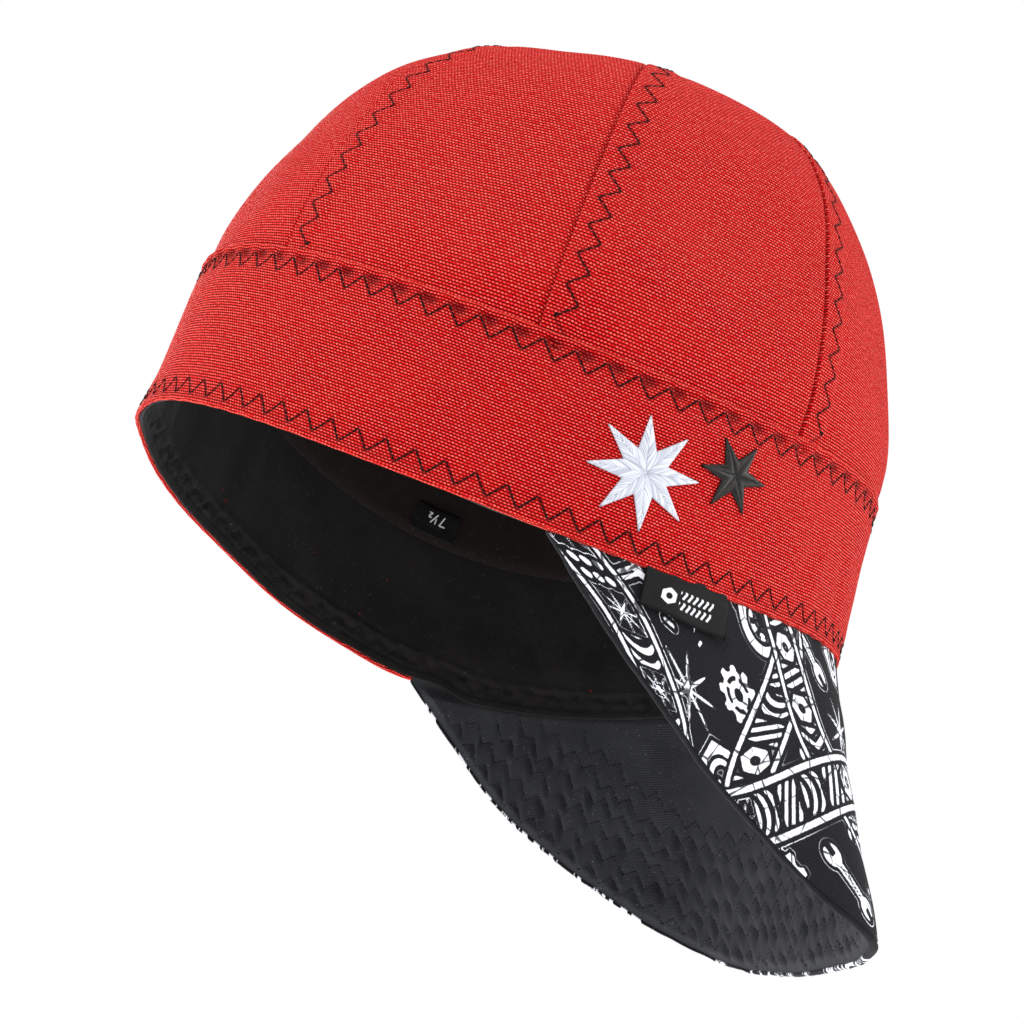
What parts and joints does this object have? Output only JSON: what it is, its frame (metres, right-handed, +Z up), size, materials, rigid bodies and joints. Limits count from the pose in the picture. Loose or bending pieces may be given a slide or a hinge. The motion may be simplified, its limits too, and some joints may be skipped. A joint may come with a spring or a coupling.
{
  "type": "welding cap",
  "caption": "Soft canvas welding cap with a gored crown on a deep band, a black lining and a short quilted bill that hangs below the rim.",
  "frame": {"origin": "centre of the head opening, at the mean height of its wavy rim", "axes": "+Z up along the crown, the bill points along -Y, +X is the wearer's left"},
  "size_m": [0.189, 0.2245, 0.2139],
  "materials": {
    "red_canvas": "coarse plain weave canvas, matt with a faint sheen",
    "black_lining": "thin matt twill",
    "printed_cotton": "black plain weave with a white print",
    "quilted_padding": "matt twill, padded and stitched in rows",
    "woven_label": "fine woven damask",
    "white_thread": "satin stitch",
    "black_thread": "satin stitch"
  },
  "bodies": {
    "root": {"crown_panel_1": "red_canvas", "crown_panel_2": "red_canvas", "crown_panel_3": "red_canvas", "crown_panel_4": "red_canvas", "crown_panel_5": "red_canvas", "crown_panel_6": "red_canvas", "crown_panel_7": "red_canvas", "crown_panel_8": "red_canvas", "crown_lining": "black_lining", "band": "red_canvas", "band_lining": "black_lining", "bill_cover": "printed_cotton", "bill_underside": "quilted_padding", "side_tab": "woven_label", "size_label": "woven_label", "embroidery_light": "white_thread", "embroidery_dark": "black_thread"}
  },
  "joints": []
}
